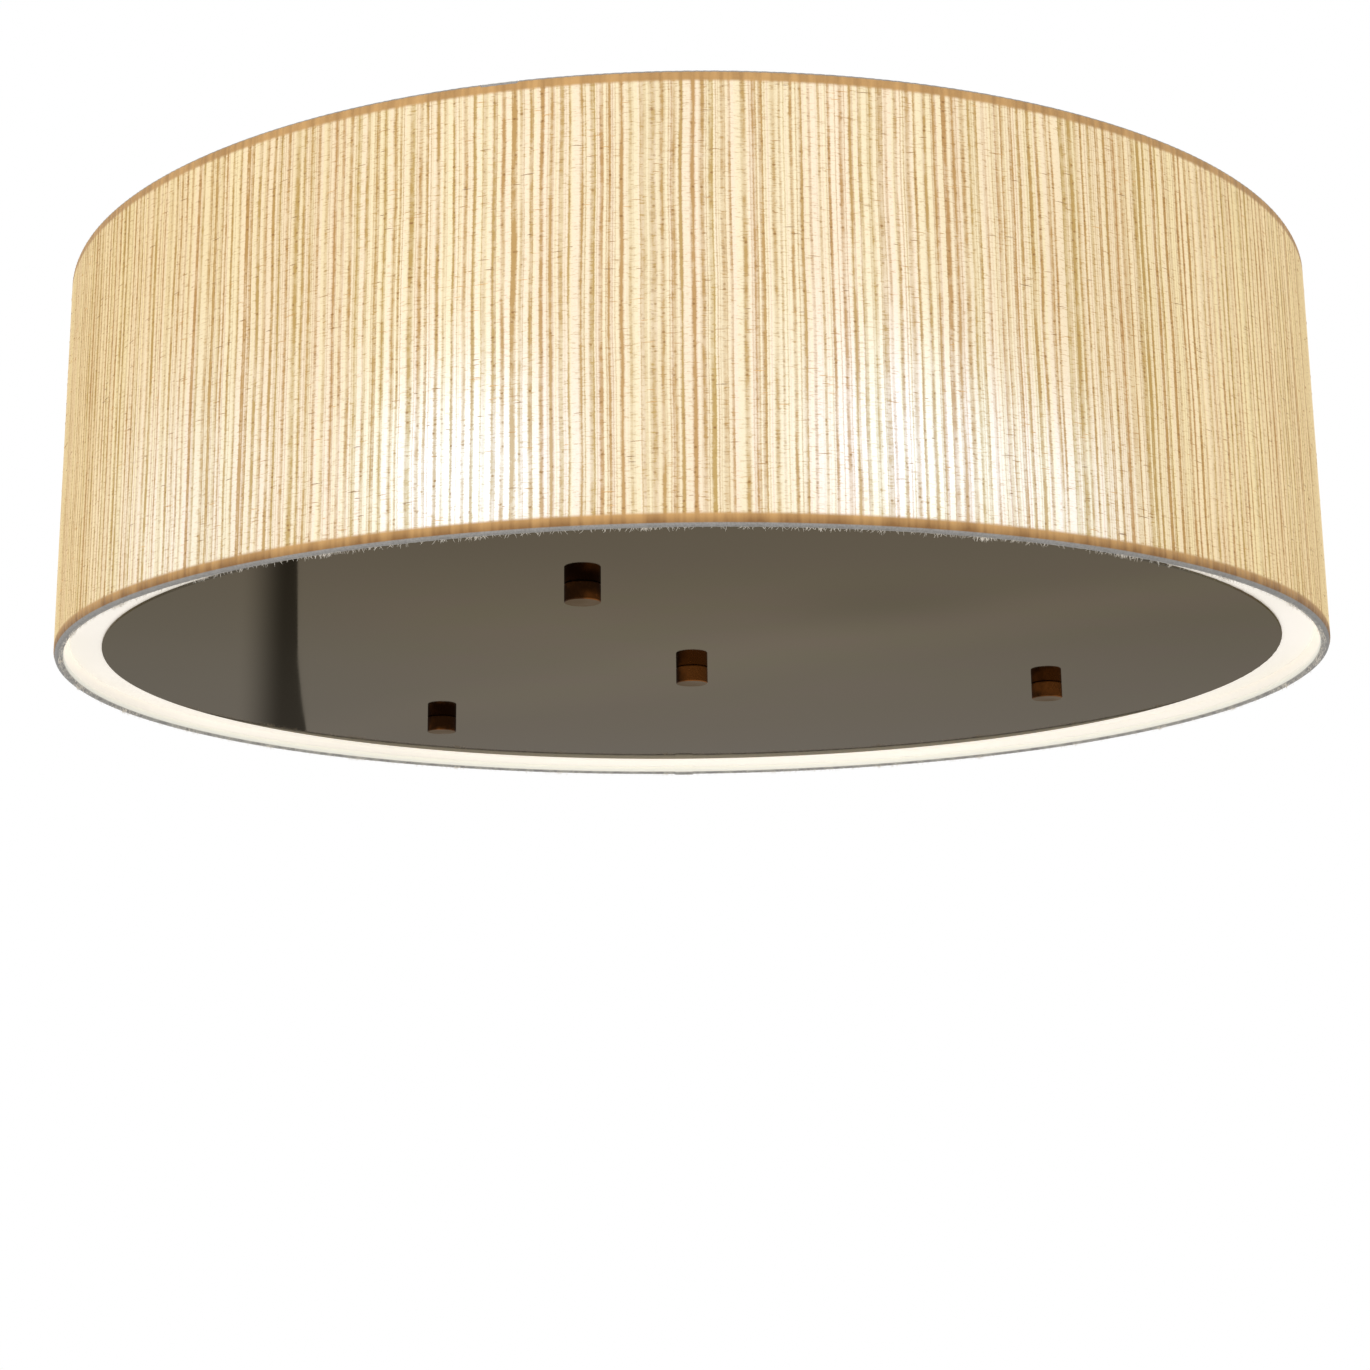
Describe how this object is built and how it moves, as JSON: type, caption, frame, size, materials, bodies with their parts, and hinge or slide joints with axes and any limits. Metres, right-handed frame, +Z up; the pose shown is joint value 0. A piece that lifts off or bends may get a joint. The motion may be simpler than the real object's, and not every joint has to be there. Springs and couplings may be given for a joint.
{
  "type": "flush mount ceiling light",
  "caption": "Round drum shade of ribbed woven cloth close to the ceiling, lit from inside, closed below by an opal disc and a satin metal plate held by round knobs.",
  "frame": {"origin": "middle of the mounting strap's slot pattern, in the plane of the ceiling", "axes": "+Z up into the ceiling, +X along the mounting strap; the drum hangs below the origin"},
  "size_m": [0.6099, 0.61, 0.1917],
  "materials": {
    "woven_cloth": "natural ribbed weave, lit from inside",
    "styrene": "translucent sheet",
    "ring_steel": "white powder coat",
    "white_enamel": "white enamel",
    "zinc_steel": "zinc plated",
    "green_screw": "green plated",
    "opal_acrylic": "opal, lit from behind",
    "satin_plate": "satin dark nickel",
    "bronze": "aged bronze",
    "porcelain": "white glaze",
    "contact_brass": "bare brass",
    "cap_metal": "rolled thread",
    "frosted_glass": "frosted",
    "nylon": "moulded",
    "live_sleeve": "black insulation",
    "neutral_sleeve": "white insulation",
    "connector_plastic": "moulded"
  },
  "bodies": {
    "root": {"shade_fabric": "woven_cloth", "shade_liner": "styrene", "bottom_ring": "ring_steel", "top_ring": "ring_steel", "shade_arms": "ring_steel", "ceiling_pan": "white_enamel", "mounting_strap": "zinc_steel", "strap_nipple": "zinc_steel", "nipple_nuts": "zinc_steel", "centre_coupling": "zinc_steel", "centre_rod": "zinc_steel", "support_rods": "zinc_steel", "rod_nuts": "zinc_steel", "arm_washers": "zinc_steel", "stop_washers": "zinc_steel", "stop_nuts": "zinc_steel", "holder_screws": "zinc_steel", "earth_screw": "green_screw", "holder_body_1": "porcelain", "holder_body_2": "porcelain", "holder_body_3": "porcelain", "holder_body_4": "porcelain", "holder_shell_1": "contact_brass", "holder_shell_2": "contact_brass", "holder_shell_3": "contact_brass", "holder_shell_4": "contact_brass", "centre_contacts": "contact_brass", "lead_bushings": "nylon", "live_leads": "live_sleeve", "neutral_leads": "neutral_sleeve", "wire_connectors": "connector_plastic"},
    "cover": {"diffuser_disc": "opal_acrylic", "base_plate": "satin_plate"},
    "centre_knob": {"centre_knob": "bronze"},
    "knob_1": {"knob_1": "bronze"},
    "knob_2": {"knob_2": "bronze"},
    "knob_3": {"knob_3": "bronze"},
    "lamp_1": {"lamp_cap_1": "cap_metal", "lamp_glass_1": "frosted_glass"},
    "lamp_2": {"lamp_cap_2": "cap_metal", "lamp_glass_2": "frosted_glass"},
    "lamp_3": {"lamp_cap_3": "cap_metal", "lamp_glass_3": "frosted_glass"},
    "lamp_4": {"lamp_cap_4": "cap_metal", "lamp_glass_4": "frosted_glass"}
  },
  "joints": [
    {"name": "cover_lowers", "type": "slide", "parent": "root", "child": "cover", "axis": [0, 0, -1], "range_m": [0, 0.16]},
    {"name": "centre_knob_unscrews", "type": "hinge", "parent": "cover", "child": "centre_knob", "pos_m": [0, 0, -0.1878], "axis": [0, 0, -1], "range_deg": [0, 3030]},
    {"name": "knob_1_unscrews", "type": "hinge", "parent": "cover", "child": "knob_1", "pos_m": [0.18207, 0.05255, -0.1878], "axis": [0, 0, -1], "range_deg": [0, 3030]},
    {"name": "knob_2_unscrews", "type": "hinge", "parent": "cover", "child": "knob_2", "pos_m": [-0.13654, 0.1314, -0.1878], "axis": [0, 0, -1], "range_deg": [0, 3030]},
    {"name": "knob_3_unscrews", "type": "hinge", "parent": "cover", "child": "knob_3", "pos_m": [-0.04552, -0.18395, -0.1878], "axis": [0, 0, -1], "range_deg": [0, 3030]},
    {"name": "lamp_1_unscrews", "type": "hinge", "parent": "root", "child": "lamp_1", "pos_m": [0.12557, -0.0725, -0.06], "axis": [0, 0, -1], "range_deg": [0, 1620]},
    {"name": "lamp_2_unscrews", "type": "hinge", "parent": "root", "child": "lamp_2", "pos_m": [0.0725, 0.12557, -0.06], "axis": [0, 0, -1], "range_deg": [0, 1620]},
    {"name": "lamp_3_unscrews", "type": "hinge", "parent": "root", "child": "lamp_3", "pos_m": [-0.12557, 0.0725, -0.06], "axis": [0, 0, -1], "range_deg": [0, 1620]},
    {"name": "lamp_4_unscrews", "type": "hinge", "parent": "root", "child": "lamp_4", "pos_m": [-0.0725, -0.12557, -0.06], "axis": [0, 0, -1], "range_deg": [0, 1620]}
  ]
}
